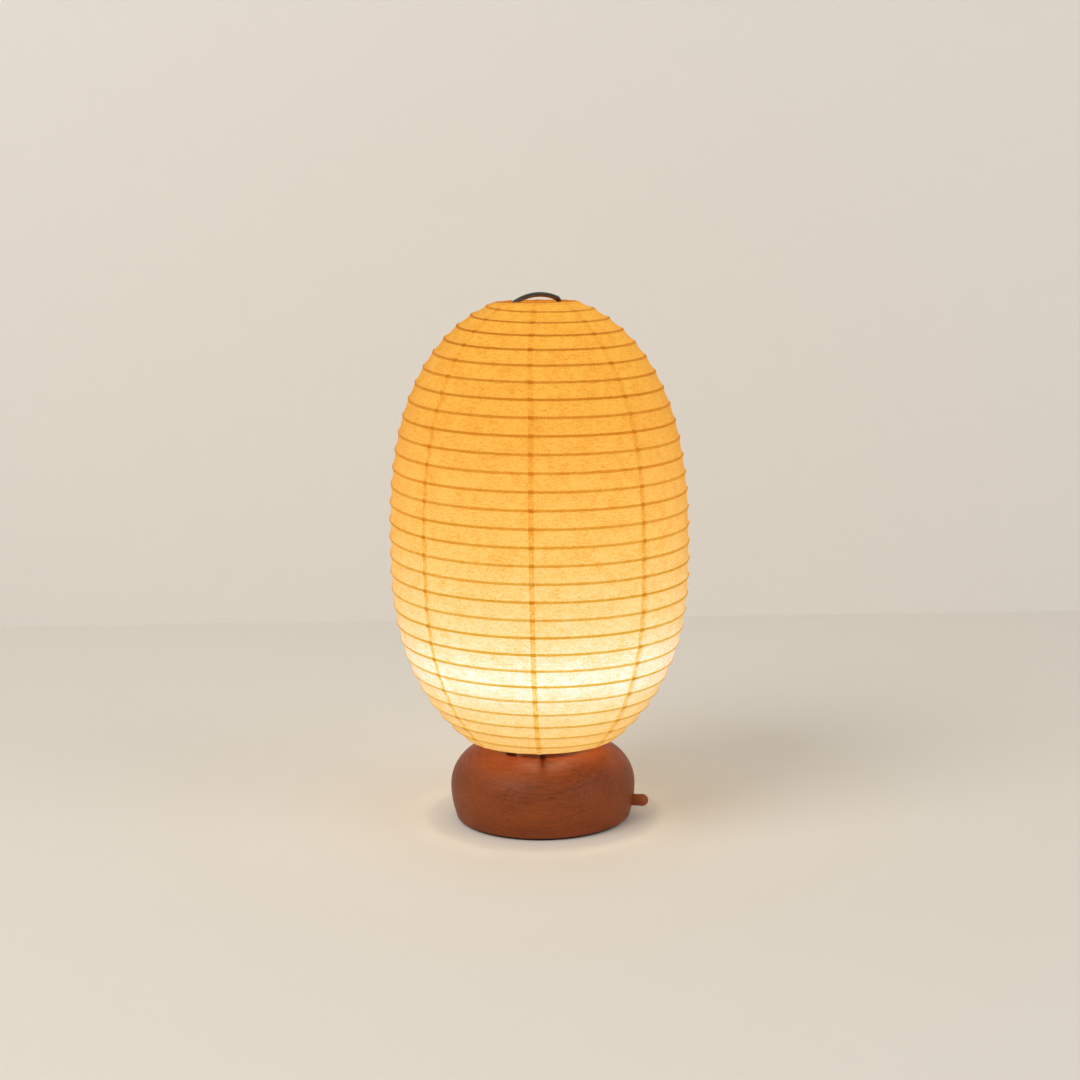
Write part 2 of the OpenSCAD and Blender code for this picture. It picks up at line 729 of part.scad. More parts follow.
module leg_sockets() {
    color(steel_colour)
    harp_places()
        difference() {
            translate([leg_r, 0, carrier_top]) cylinder(d = socket_d, h = socket_h);
            translate([leg_r, 0, carrier_top + socket_floor])
                cylinder(r = harp_d / 2 + leg_fit, h = socket_h);
        }
}

// Moulded shell of the lamp holder, with a stepped grip band
module holder_shell() {
    r = holder_d / 2;
    inner = r - holder_wall;
    bore = nipple_d / 2 + snug;
    band = 0.6;
    bevel = 2;
    band_low = holder_z + 12;
    band_high = holder_top - 4;
    color(black_colour)
    rotate_extrude()
    polygon([[bore, holder_z], [r - bevel, holder_z], [r, holder_z + bevel], [r, band_low],
        [r - band, band_low + band], [r - band, band_high - band], [r, band_high],
        [r, holder_top - band], [r - band, holder_top], [inner, holder_top], [inner, floor_top],
        [bore, floor_top]]);
}

module holder_core() {
    floor_z = core_z + core_floor;
    color(white_colour)
    rotate_extrude()
    polygon([[2, core_z], [core_r, core_z], [core_r, core_top], [core_bore_r, core_top],
        [core_bore_r, floor_z], [2, floor_z]]);
}

module screw_shell() {
    from = core_z + core_floor + seat;
    color(brass_colour)
    pipe(shell_r + shell_t, shell_r, from, core_top - from - 0.7);
}

// Sprung strip in the bottom of the holder, arched up to the cap's tip
module centre_contact() {
    z = core_z + core_floor + contact_t / 2;
    line = [[-6, z], [-3.5, z], [-1.5, z + contact_rise - contact_t], [1.5, z + contact_rise - contact_t],
        [3.5, z], [6, z]];
    color(brass_colour)
    rotate([90, 0, 0])
    translate([0, 0, -2])
    linear_extrude(4)
    polygon(strip(line, contact_t));
}

module bulb_cap() {
    r = cap_d / 2;
    color(steel_colour)
    rotate_extrude()
    polygon([[cap_bottom_r, cap_z], [r - 1, cap_z], [r, cap_z + 1], [r, cap_top], [r - cap_wall, cap_top],
        [r - cap_wall, cap_z + 1 + cap_wall], [cap_bottom_r, cap_z + 1 + cap_wall]]);
}

module cap_insulator() {
    r = cap_bottom_r - snug;
    z = cap_tip_z + tip_h;
    color(black_colour)
    rotate_extrude()
    polygon([[0, z], [2.4, z], [r, cap_z], [r, cap_z + 2], [0, cap_z + 2]]);
}

module cap_contact() {
    color(brass_colour)
    translate([0, 0, cap_tip_z]) cylinder(r1 = 1.6, r2 = 2.3, h = tip_h);
}

// Hollow housing that flares from the cap to the globe, with a spigot in the cap and a ledge for the board
module bulb_housing() {
    spigot_r = cap_d / 2 - cap_wall - snug;
    spigot_l = 4;
    wall = 1.2;
    collar_r = spigot_r + 2.2;
    collar_z = cap_top + 0.1;
    flare = housing_top - cap_top;
    waist_r = housing_r * 0.78;
    waist_z = cap_top + flare * 0.55;
    color(white_colour)
    rotate_extrude()
    polygon([[spigot_r - wall, cap_top - spigot_l], [spigot_r, cap_top - spigot_l], [spigot_r, collar_z],
        [collar_r, collar_z], [collar_r + wall, cap_top + flare * 0.2],
        [waist_r, waist_z], [housing_r, housing_top], [board_seat_r, housing_top],
        [board_seat_r, board_seat_z], [board_seat_r - 2, board_seat_z],
        [waist_r - wall, waist_z], [collar_r, cap_top + flare * 0.25],
        [spigot_r - wall, collar_z + wall]]);
}

// Round board on the ledge, with a ring of eight light sources
module led_board() {
    led_size = [2.4, 2.4, 0.8];
    led_circle_r = board_seat_r * 0.6;
    color(white_colour)
    union() {
        translate([0, 0, board_seat_z]) cylinder(r = board_seat_r - snug, h = board_t);
        for (a = [0:45:315])
            rotate([0, 0, a])
            translate([led_circle_r - led_size[0] / 2, -led_size[1] / 2, board_seat_z + board_t - 0.2])
                cube(led_size + [0, 0, 0.2]);
    }
}

module bulb_globe() {
    color(white_colour)
    difference() {
        translate([0, 0, globe_z]) sphere(d = globe_d);
        translate([0, 0, globe_z]) sphere(r = globe_d / 2 - globe_wall);
        translate([0, 0, housing_top - globe_d]) cylinder(r = globe_d, h = globe_d);
    }
}

// Straight wire between two points of the harp's plane, with round ends
module wire(a, b) {
    v = b - a;
    translate([a[0], 0, a[1]])
    rotate([0, atan2(v[0], v[1]), 0])
    cylinder(d = harp_d, h = norm(v));
}

// Arc of wire in the harp's plane, from one angle to another above +X
module wire_arc(r, from, to) {
    rotate([90, 0, 0])
    rotate([0, 0, from])
    rotate_extrude(angle = to - from)
    translate([r, 0]) circle(d = harp_d, $fn = 48);
}

// Ball that joins two stretches of wire, a hair thicker than the wire
module wire_joint(at) {
    translate([at[0], 0, at[1]]) sphere(d = harp_d + 2 * snug);
}

// Sprung wire harp: its bow stands over the mouth and its legs stand in the sockets
module harp() {
    bend_at = [neck_r - bend_r, bend_z];
    bow_end = bend_at + [sin(bow_angle), cos(bow_angle)] * bend_r;
    neck_top = [neck_r, bend_z];
    neck_end = [neck_r, neck_end_z];
    knee = [leg_r, knee_z];
    color(steel_colour)
    union() {
        rotate([0, 0, harp_turn]) translate([0, 0, bow_z]) wire_arc(bow_r, 90 - bow_angle, 90 + bow_angle);
        harp_places() {
            translate([bend_at[0], 0, bend_at[1]]) wire_arc(bend_r, 0, 90 - bow_angle);
            wire(neck_end, neck_top);
            wire(knee, neck_end);
            wire([leg_r, leg_end_z], knee);
            for (at = [bow_end, neck_top, neck_end, knee]) wire_joint(at);
        }
    }
}

// Collars crimped on the legs, on which the mouth ring rests
module harp_stops() {
    color(brass_colour)
    harp_places()
        difference() {
            translate([neck_r, 0, stop_top - stop_l]) cylinder(r = harp_d / 2 + stop_wall, h = stop_l);
            translate([neck_r, 0, stop_top - stop_l - past])
                cylinder(r = harp_d / 2 + snug, h = stop_l + 2 * past);
        }
}

module wire_ring(at, d) {
    rotate_extrude($fn = 180) translate(at) circle(d = d, $fn = 32);
}

module mouth_ring() {
    color(bamboo_colour)
    wire_ring(mouth_ring_at, mouth_wire_d);
}

module foot_ring() {
    color(steel_colour)
    wire_ring(foot_ring_at, foot_wire_d);
}

// One unbroken strand of split bamboo, wound from the mouth down to the foot
module bamboo_strand() {
    color(bamboo_colour)
    tube(strand_line, strand_d / 2, strand_sides, [0, 0, 1]);
}

// One gore of paper, with a raised band along one side where the next gore's edge is pasted under it
module paper_panel(g) {
    phase = gore_phase(g);
    color(paper_colour)
    rotate([0, 0, seam_turn + gore_angle * g])
    union() {
        rotate_extrude(angle = gore_angle - seam_open) polygon(skin_strip(phase, 0, -paper_t, 0));
        rotate([0, 0, seam_open])
            rotate_extrude(angle = lap_angle)
            polygon(skin_strip(phase, lap_t, -paper_t / 2, lap_setback));
    }
}

foot_pad();
bottom_plate();
plate_screws();
base_body();
cord_grommet();
terminal_block();
terminal_screws();
block_screw();
dimmer_bracket();
bracket_screws();
dimmer_body();
dimmer_washer();
dimmer_nut();
dimmer_shaft();
knob();
feed_lead();
switched_lead();
return_lead();
nipple();
nipple_washer();
nipple_nut();
shade_carrier();
leg_sockets();
holder_shell();
holder_core();
screw_shell();
centre_contact();
bulb_cap();
cap_insulator();
cap_contact();
bulb_housing();
led_board();
bulb_globe();
harp();
harp_stops();
mouth_ring();
foot_ring();
bamboo_strand();
paper_panel(0);  // paper_panel_1
paper_panel(1);  // paper_panel_2
paper_panel(2);  // paper_panel_3
paper_panel(3);  // paper_panel_4
paper_panel(4);  // paper_panel_5
paper_panel(5);  // paper_panel_6
paper_panel(6);  // paper_panel_7
paper_panel(7);  // paper_panel_8
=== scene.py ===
"""Paper table lamp: the looks of a ribbed paper lantern on a turned base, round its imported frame."""

import math

import bmesh
import bpy
import numpy as np
from mathutils import Matrix, Vector, noise


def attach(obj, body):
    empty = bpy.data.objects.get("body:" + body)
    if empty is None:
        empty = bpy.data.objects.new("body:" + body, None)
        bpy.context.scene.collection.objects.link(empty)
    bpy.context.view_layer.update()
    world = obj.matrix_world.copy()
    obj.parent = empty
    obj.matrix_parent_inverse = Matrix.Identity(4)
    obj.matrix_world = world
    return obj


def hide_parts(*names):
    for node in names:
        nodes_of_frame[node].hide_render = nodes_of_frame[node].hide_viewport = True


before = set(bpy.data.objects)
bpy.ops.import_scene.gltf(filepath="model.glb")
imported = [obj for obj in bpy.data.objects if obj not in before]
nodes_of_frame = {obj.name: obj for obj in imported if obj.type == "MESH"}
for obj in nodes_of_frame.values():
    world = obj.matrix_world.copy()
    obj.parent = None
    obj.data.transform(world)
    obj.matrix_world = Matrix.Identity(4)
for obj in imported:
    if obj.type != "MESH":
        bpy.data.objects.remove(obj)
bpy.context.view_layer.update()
millimetre = 0.001


# Camera
# The photograph was taken from a little above the lamp with a short telephoto lens, turned a hair off
# level. The camera's place and lens were fitted to the turns of the strand and to the mouth.
camera_data = bpy.data.cameras.new("photo_camera")
camera_data.sensor_width = 36.0
camera_data.lens = 75.48
camera_data.clip_start = 0.05
camera_data.clip_end = 30.0
camera = bpy.data.objects.new("photo_camera", camera_data)
bpy.context.scene.collection.objects.link(camera)
camera_place = (0.0003, -1.3393, 0.4355)
look_down = math.radians(90.0 - 11.128)
lean = math.radians(-0.8)
camera.matrix_world = (
    Matrix.Translation(camera_place)
    @ Matrix.Rotation(look_down, 4, "X")
    @ Matrix.Rotation(lean, 4, "Z")
)
bpy.context.scene.camera = camera


# Turned base and knob
# The base is one block of reddish brown hardwood, turned on a lathe to a bun with a recess in its top,
# sanded and oiled. Its fibres lie flat along X. The knob is a peg of the same wood, with a domed end.
def shader_group(name, inputs, outputs):
    """An empty node group with named sockets, given as (name, kind, value) and (name, kind)."""
    group = bpy.data.node_groups.new(name, "ShaderNodeTree")
    for label, kind, value in inputs:
        socket = group.interface.new_socket(label, in_out="INPUT", socket_type="NodeSocket" + kind)
        socket.default_value = value
    for label, kind in outputs:
        group.interface.new_socket(label, in_out="OUTPUT", socket_type="NodeSocket" + kind)
    return Graph(group)


class Graph:
    """Adds linked nodes to a tree in one line each."""

    def __init__(self, tree):
        self.tree = tree
        self.nodes = tree.nodes
        self.links = tree.links

    def feed(self, socket, value):
        if isinstance(value, bpy.types.NodeSocket):
            self.links.new(value, socket)
        elif value is not None:
            socket.default_value = value

    def add(self, kind, values=(), **settings):
        node = self.nodes.new("ShaderNode" + kind)
        for key, setting in settings.items():
            setattr(node, key, setting)
        for key, value in dict(values).items():
            self.feed(node.inputs[key], value)
        return node

    def inlet(self):
        return self.nodes.new("NodeGroupInput").outputs

    def outlet(self, **values):
        node = self.nodes.new("NodeGroupOutput")
        for key, value in values.items():
            self.feed(node.inputs[key.replace("_", " ")], value)

    def math(self, operation, first, second=None, third=None):
        node = self.nodes.new("ShaderNodeMath")
        node.operation = operation
        for socket, value in zip(node.inputs, (first, second, third)):
            self.feed(socket, value)
        return node.outputs[0]

    def mix(self, factor, first, second, blend="MIX"):
        node = self.nodes.new("ShaderNodeMix")
        node.data_type = "RGBA"
        node.blend_type = blend
        node.clamp_factor = True
        self.feed(node.inputs[0], factor)
        self.feed(node.inputs[6], first)
        self.feed(node.inputs[7], second)
        return node.outputs[2]

    def grey(self, value):
        return self.add("CombineColor", {0: value, 1: value, 2: value}).outputs[0]

    def span(self, value, low, high, to_low=0.0, to_high=1.0, kind="SMOOTHSTEP"):
        node = self.nodes.new("ShaderNodeMapRange")
        node.interpolation_type = kind
        for socket, given in zip(node.inputs, (value, low, high, to_low, to_high)):
            self.feed(socket, given)
        return node.outputs[0]

    def stretched(self, place, scale):
        node = self.nodes.new("ShaderNodeMapping")
        node.vector_type = "POINT"
        self.feed(node.inputs["Vector"], place)
        node.inputs["Scale"].default_value = scale
        return node.outputs[0]

    def noise(self, place, scale, detail=2.0, roughness=0.5, distortion=0.0):
        values = {"Vector": place, "Scale": scale, "Detail": detail, "Roughness": roughness,
                  "Distortion": distortion}
        return self.add("TexNoise", values).outputs["Fac"]

    def ramp(self, factor, stops):
        node = self.nodes.new("ShaderNodeValToRGB")
        while len(node.color_ramp.elements) < len(stops):
            node.color_ramp.elements.new(0.5)
        for element, (position, colour) in zip(node.color_ramp.elements, stops):
            element.position = position
            element.color = (*colour, 1.0)
        self.feed(node.inputs["Fac"], factor)
        return node.outputs["Color"]


class Finish(Graph):
    """A new material with one Principled shader."""

    def __init__(self, name):
        self.material = bpy.data.materials.new(name)
        self.material.use_nodes = True
        super().__init__(self.material.node_tree)
        self.nodes.clear()
        self.shader = self.nodes.new("ShaderNodeBsdfPrincipled")
        output = self.nodes.new("ShaderNodeOutputMaterial")
        self.links.new(self.shader.outputs[0], output.inputs["Surface"])

    def place(self):
        return self.nodes.new("ShaderNodeTexCoord").outputs["Object"]

    def set(self, **values):
        for key, value in values.items():
            self.feed(self.shader.inputs[key.replace("_", " ")], value)

    def bump(self, height, distance, strength):
        node = self.add("Bump", {"Height": height, "Distance": distance, "Strength": strength})
        self.links.new(node.outputs[0], self.shader.inputs["Normal"])

    def use(self, group, values):
        node = self.nodes.new("ShaderNodeGroup")
        node.node_tree = group.tree
        for key, value in values.items():
            self.feed(node.inputs[key], value)
        return node.outputs


def dress(material, *names):
    """Gives a material to nodes of the frame that keep their shape."""
    for name in names:
        mesh = nodes_of_frame[name].data
        mesh.materials.clear()
        mesh.materials.append(material)


def srgb(red, green, blue):
    """A colour written as 0 to 255 on screen, in the linear values that shaders take."""
    return tuple(
        (c / 12.92 if c <= 0.04045 else ((c + 0.055) / 1.055) ** 2.4)
        for c in (red / 255, green / 255, blue / 255)
    )


def rgba(colour):
    return (*colour, 1.0)


# Growth rings about a pith that lies along X, long pores and flecks, and the fine marks of the lathe.
# Each stretch is in cycles a metre along X, Y and Z.
turned_grain = shader_group(
    "turned_grain",
    [("Place", "Vector", (0, 0, 0)), ("Pith", "Vector", (0.0, 0.3, -0.2)), ("Ring Pitch", "Float", 0.0027),
     ("Pale", "Color", (1, 1, 1, 1)), ("Dark", "Color", (0, 0, 0, 1)), ("Pore", "Color", (0, 0, 0, 1))],
    [("Color", "Color"), ("Roughness", "Float"), ("Height", "Float")],
)
g = turned_grain
given = g.inlet()
from_pith = g.add("VectorMath", {0: given["Place"], 1: given["Pith"]}, operation="SUBTRACT").outputs[0]
ring_wander = 0.028
wander = g.noise(g.stretched(from_pith, (7.0, 24.0, 24.0)), 1.0, 4.0, 0.55)
across = g.add("VectorMath", {0: from_pith, 1: (0.0, 1.0, 1.0)}, operation="MULTIPLY").outputs[0]
out_from_pith = g.add("VectorMath", {0: across}, operation="LENGTH").outputs["Value"]
rings = g.math("DIVIDE", g.math("MULTIPLY_ADD", wander, ring_wander, out_from_pith), given["Ring Pitch"])
ring = g.math("FRACT", rings)
late_wood = g.math("MULTIPLY", g.span(ring, 0.35, 0.92), g.span(ring, 1.0, 0.93))
streak = g.noise(g.stretched(from_pith, (34.0, 1150.0, 1150.0)), 1.0, 4.0, 0.62)
fine_streak = g.noise(g.stretched(from_pith, (75.0, 1900.0, 1900.0)), 1.0, 3.0, 0.65)
cloud = g.noise(g.stretched(from_pith, (9.0, 38.0, 38.0)), 1.0, 3.0, 0.55)
late_wood = g.math("MULTIPLY", late_wood, g.span(cloud, 0.3, 0.7, 0.05, 0.2))
tone = g.math("ADD", late_wood, g.math("MULTIPLY", g.span(streak, 0.3, 0.72), 0.34))
tone = g.math("ADD", tone, g.math("MULTIPLY", g.span(cloud, 0.28, 0.72), 0.42))
wood_colour = g.mix(tone, given["Pale"], given["Dark"])
pore = g.math("MULTIPLY", g.span(fine_streak, 0.59, 0.66), g.span(streak, 0.4, 0.58))
wood_colour = g.mix(g.math("MULTIPLY", pore, 0.8), wood_colour, given["Pore"])
height_above = g.add("SeparateXYZ", {0: given["Place"]}).outputs["Z"]
lathe_rate, lathe_drift = 9000.0, 0.0015
drifting = g.math("MULTIPLY_ADD", cloud, lathe_drift, height_above)
lathe = g.math("SINE", g.math("MULTIPLY", drifting, lathe_rate))
relief = g.math("MULTIPLY_ADD", lathe, 0.16, g.math("MULTIPLY", pore, -0.9))
relief = g.math("MULTIPLY_ADD", fine_streak, 0.5, relief)
open_grain = g.math("ADD", streak, g.math("MULTIPLY", pore, 0.4))
g.outlet(Color=wood_colour, Roughness=g.span(open_grain, 0.2, 1.1, 0.44, 0.66), Height=relief)


def turned_wood(name, pith, pale, dark, pore):
    wood = Finish(name)
    grain = wood.use(turned_grain, {"Place": wood.place(), "Pith": pith, "Pale": rgba(pale),
                                    "Dark": rgba(dark), "Pore": rgba(pore)})
    wood.set(Base_Color=grain["Color"], Roughness=grain["Roughness"], Specular_IOR_Level=0.25)
    wood.bump(grain["Height"], 0.00009, 0.5)
    return wood.material


base_wood = turned_wood("turned_base_wood", (0.0, 0.22, -0.62), srgb(150, 72, 24), srgb(98, 41, 12),
                        srgb(52, 21, 7))
knob_wood = turned_wood("knob_wood", (0.0, 0.03, -0.02), srgb(166, 88, 44), srgb(126, 58, 26),
                        srgb(72, 31, 14))
dress(base_wood, "base_body")
dress(knob_wood, "knob")


# Under the base
# A disc of black wool felt is glued under the bottom plate, which is stamped steel with black paint, held
# by three countersunk screws. A rubber grommet lines the cord's hole at the rear.
fine_grain = shader_group(
    "fine_grain",
    [("Place", "Vector", (0, 0, 0)), ("Size", "Float", 900.0), ("Color", "Color", (1, 1, 1, 1)),
     ("Spread", "Float", 0.12), ("Roughness", "Float", 0.5), ("Roughness Spread", "Float", 0.12)],
    [("Color", "Color"), ("Roughness", "Float"), ("Height", "Float")],
)
g = fine_grain
given = g.inlet()
speckle = g.noise(given["Place"], given["Size"], 3.0, 0.6)
patch = g.noise(given["Place"], 60.0, 2.0)
off_even = g.math("MULTIPLY", g.math("SUBTRACT", g.math("ADD", speckle, patch), 1.0), given["Spread"])
speckled = g.add("HueSaturation", {"Hue": 0.5, "Saturation": 1.0, "Value": g.math("ADD", off_even, 1.0),
                                   "Fac": 1.0, "Color": given["Color"]}).outputs[0]
patchy = g.math("MULTIPLY_ADD", g.math("SUBTRACT", patch, 0.5), given["Roughness Spread"], given["Roughness"])
g.outlet(Color=speckled, Roughness=patchy, Height=speckle)


def plain_finish(name, colour, roughness, size, spread, metallic=0.0, relief=0.00004, coat=0.0):
    plain = Finish(name)
    grain = plain.use(fine_grain, {"Place": plain.place(), "Size": size, "Color": rgba(colour),
                                   "Spread": spread, "Roughness": roughness})
    plain.set(Base_Color=grain["Color"], Roughness=grain["Roughness"], Metallic=metallic, Coat_Weight=coat)
    plain.bump(grain["Height"], relief, 0.6)
    return plain.material


felt = Finish("wool_felt")
matted = felt.noise(felt.place(), 1400.0, 4.0, 0.7, 1.5)
tufts = felt.noise(felt.place(), 260.0, 2.0, 0.5, 0.8)
fluff = felt.span(felt.math("ADD", matted, tufts), 0.7, 1.3)
felt.set(Base_Color=felt.mix(fluff, rgba(srgb(16, 15, 15)), rgba(srgb(44, 41, 40))), Roughness=0.95,
         Sheen_Weight=0.25)
felt.bump(matted, 0.0004, 0.7)
dress(felt.material, "foot_pad")
black_paint = plain_finish("black_paint", srgb(30, 29, 28), 0.42, 1600.0, 0.3, relief=0.00006)
zinc = plain_finish("zinc_plate", srgb(188, 190, 192), 0.32, 500.0, 0.1, 1.0, 0.00002)
black_rubber = plain_finish("black_rubber", srgb(32, 31, 30), 0.7, 1200.0, 0.25)
black_plastic = plain_finish("black_moulding", srgb(28, 27, 26), 0.46, 2200.0, 0.2)
white_plastic = plain_finish("white_moulding", srgb(232, 229, 221), 0.44, 1800.0, 0.04)
dress(black_paint, "bottom_plate")
dress(zinc, "plate_screws")
dress(black_rubber, "cord_grommet")


# Terminals, dimmer and leads inside the base
# A moulded terminal block under the ceiling takes the cord's cores, a rotary dimmer on a zinc plated
# bracket stands behind the knob, and three insulated leads join them to the lamp holder.
dress(white_plastic, "terminal_block")
dress(zinc, "terminal_screws", "block_screw", "dimmer_bracket", "bracket_screws", "dimmer_washer",
      "dimmer_nut", "dimmer_shaft")
dress(black_plastic, "dimmer_body")


lead_radius = 0.95
core_brown, core_blue = srgb(104, 58, 34), srgb(44, 84, 150)


def smooth_lead(name, points, colour, replaced):
    """One insulated lead along given points in millimetres, smoothed as a curve."""
    curve = bpy.data.curves.new(name, "CURVE")
    curve.dimensions = "3D"
    curve.bevel_depth = lead_radius * millimetre
    curve.bevel_resolution = 4
    curve.resolution_u = 8
    curve.use_fill_caps = True
    spline = curve.splines.new("BEZIER")
    spline.bezier_points.add(len(points) - 1)
    for point, at in zip(spline.bezier_points, points):
        point.co = Vector(at) * millimetre
        point.handle_left_type = point.handle_right_type = "AUTO"
    lead = bpy.data.objects.new(name, curve)
    bpy.context.scene.collection.objects.link(lead)
    mesh = bpy.data.meshes.new_from_object(lead.evaluated_get(bpy.context.evaluated_depsgraph_get()))
    bpy.data.objects.remove(lead)
    lead = bpy.data.objects.new(name, mesh)
    bpy.context.scene.collection.objects.link(lead)
    mesh.materials.clear()
    mesh.materials.append(plain_finish(name + "_insulation", colour, 0.4, 1500.0, 0.1))
    mesh.shade_smooth()
    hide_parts(replaced)
    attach(lead, "base")


from_terminal = [(4.5, 27, 23), (4.5, 20, 23), (5.5, 16, 21), (12.2, 11, 14), (17.4, 3, 11.2),
                 (18.35, -0.2, 11.2)]
dimmer_to_holder = [(17.3, -6.1, 11.2), (15, -7.7, 11.2), (8, -6, 11), (2, -4, 15), (0, -1.6, 20.8),
                    (0, -1.6, 31), (0, -1.6, 49.7)]
holder_to_terminal = [(-4.5, 27, 23), (-4.5, 20, 23), (-4.5, 16, 20), (-2, 8, 15), (0, 2.6, 18.8),
                      (0, 1.6, 24.8), (0, 1.6, 31), (0, 1.6, 49.7)]
smooth_lead("brown_lead", from_terminal, core_brown, "feed_lead")
smooth_lead("blue_lead", dimmer_to_holder, core_blue, "switched_lead")
smooth_lead("neutral_lead", holder_to_terminal, core_blue, "return_lead")


# Lamp holder and shade carrier
# The carrier is pressed from steel with dark brown enamel, and a brass nipple clamps it under the lamp
# holder. The holder is a black moulding with a glazed ceramic core, a brass screw shell and a sprung
# brass contact.
brass = plain_finish("brass", srgb(214, 172, 96), 0.3, 700.0, 0.14, 1.0, 0.00003)
glazed_ceramic = plain_finish("glazed_ceramic", srgb(238, 234, 224), 0.2, 900.0, 0.05, coat=0.6)
dress(brass, "nipple", "screw_shell", "centre_contact", "cap_contact")
dress(zinc, "nipple_washer", "nipple_nut")
brown_enamel = plain_finish("brown_enamel", srgb(92, 42, 18), 0.5, 1600.0, 0.25, relief=0.00006)
dress(brown_enamel, "shade_carrier", "leg_sockets")
dress(black_plastic, "holder_shell")
dress(glazed_ceramic, "holder_core")


# Bulb
# A small globe bulb with a rolled aluminium screw cap, a white moulded housing and an opal globe, lit and
# of a warm white. It lights what is near it, while the paper's light is a painted glow of its own.
dress(plain_finish("rolled_cap", srgb(206, 207, 208), 0.34, 900.0, 0.1, 1.0), "bulb_cap")
dress(black_plastic, "cap_insulator")
dress(white_plastic, "bulb_housing", "led_board")
opal = Finish("opal_globe")
opal_mottle = opal.span(opal.noise(opal.place(), 90.0, 2.0), 0.3, 0.7)
opal_white = opal.mix(opal_mottle, rgba(srgb(250, 240, 220)), rgba(srgb(255, 248, 232)))
opal_glow = opal.mix(opal_mottle, rgba((1.0, 0.78, 0.5)), rgba((1.0, 0.84, 0.58)))
opal.set(Base_Color=opal_white, Roughness=0.35, Emission_Color=opal_glow, Emission_Strength=18.0)
dress(opal.material, "bulb_globe")


# Harp
# A harp of round spring wire in dark chrome stands in the sockets. Its bow is the handle over the mouth,
# and two crimped collars on its legs carry the shade.
wire = Finish("dark_chrome")
wire_haze = wire.noise(wire.stretched(wire.place(), (300.0, 300.0, 60.0)), 1.0, 2.0)
wire.set(Base_Color=wire.mix(wire_haze, rgba((0.085, 0.08, 0.075)), rgba((0.13, 0.12, 0.11))), Metallic=1.0,
         Roughness=wire.span(wire_haze, 0.2, 0.8, 0.1, 0.22))
dress(wire.material, "harp", "harp_stops")


# Outline of the lantern
# The shade was wound on an egg-shaped former, so its rings, its strand and its paper all follow one
# outline, from the edge of the mouth down to the edge of the foot. Lengths run along that outline.
widest_radius, widest_height = 90.0, 166.0
mouth_height, foot_height = 316.5, 51.5
mouth_radius, foot_radius = 22.0, 46.5


def former_radius(height):
    """Radius at heights in millimetres, from two rounded curves that meet at the widest place."""
    above = height >= widest_height
    rise = np.abs(height - widest_height)
    fullness, shoulder = np.where(above, 2.63, 2.43), np.where(above, 2.0, 1.82)
    end_rise = np.where(above, mouth_height - widest_height, widest_height - foot_height)
    end_radius = np.where(above, mouth_radius, foot_radius)
    reach = end_rise / (1 - (end_radius / widest_radius) ** shoulder) ** (1 / fullness)
    return widest_radius * (1 - (rise / reach) ** fullness) ** (1 / shoulder)


former_heights = np.linspace(mouth_height, foot_height, 1601)
former_radii = former_radius(former_heights)
former_lengths = np.concatenate(([0.0], np.cumsum(np.hypot(np.diff(former_radii), np.diff(former_heights)))))
outline_length = float(former_lengths[-1])


def on_former(length, out=0.0):
    """Radius and height at lengths from the mouth's edge, moved outwards square to the outline."""
    radius = np.interp(length, former_lengths, former_radii)
    height = np.interp(length, former_lengths, former_heights)
    ends = np.maximum(length - 1.0, 0.0), np.minimum(length + 1.0, outline_length)
    before_r, after_r = (np.interp(end, former_lengths, former_radii) for end in ends)
    before_z, after_z = (np.interp(end, former_lengths, former_heights) for end in ends)
    along_r, along_z = after_r - before_r, after_z - before_z
    size = np.hypot(along_r, along_z)
    normal_r, normal_z = -along_z / size, along_r / size
    return radius + normal_r * out, height + normal_z * out, normal_r, normal_z


mouth_lean, lean_reach = math.tan(math.radians(3.5)), 9.0


def leaned(height, across, length):
    """Heights near the mouth, whose edge stands a little higher in front than behind."""
    fade = np.clip(1.0 - np.asarray(length) / lean_reach, 0.0, 1.0)
    return height - across * mouth_lean * fade * fade * (3.0 - 2.0 * fade)


# Rings and strand
# The mouth ring is split bamboo and the foot ring enamelled steel wire. Between them one split bamboo
# strand is wound left-handed, 10.5 mm a turn along the outline, a little flatter than it is wide.
turn_pitch, strand_turn = 10.52, -90.0
strand_thickness, strand_width, strand_end = 1.3, 1.6, 4.2
paper_thickness, strand_gap = 0.3, 0.05
mouth_ring_length, mouth_ring_out, mouth_ring_thickness = 1.2, -1.45, 1.7
bamboo = Finish("split_bamboo")
skin = bamboo.noise(bamboo.stretched(bamboo.place(), (160.0, 160.0, 900.0)), 1.0, 3.0, 0.6)
stain = bamboo.noise(bamboo.place(), 45.0, 2.0)
streaked = bamboo.span(bamboo.math("ADD", skin, stain), 0.7, 1.3)
bamboo_skin, bamboo_flesh = srgb(156, 112, 62), srgb(206, 166, 104)
bamboo.set(Base_Color=bamboo.mix(streaked, rgba(bamboo_skin), rgba(bamboo_flesh)), Roughness=0.55)
bamboo.bump(skin, 0.00008, 0.6)
dress(brown_enamel, "foot_ring")


def new_piece(name, points, faces, material):
    mesh = bpy.data.meshes.new(name)
    mesh.from_pydata([tuple(p) for p in points], [], faces)
    mesh.update()
    mesh.materials.append(material)
    piece = bpy.data.objects.new(name, mesh)
    bpy.context.scene.collection.objects.link(piece)
    return piece


def tube_faces(spans, sides, closed=False):
    """Faces of a tube whose points come one ring of sides after another."""
    rings = spans if closed else spans + 1
    return [(k * sides + s, k * sides + (s + 1) % sides, (k + 1) % rings * sides + (s + 1) % sides,
             (k + 1) % rings * sides + s) for k in range(spans) for s in range(sides)]


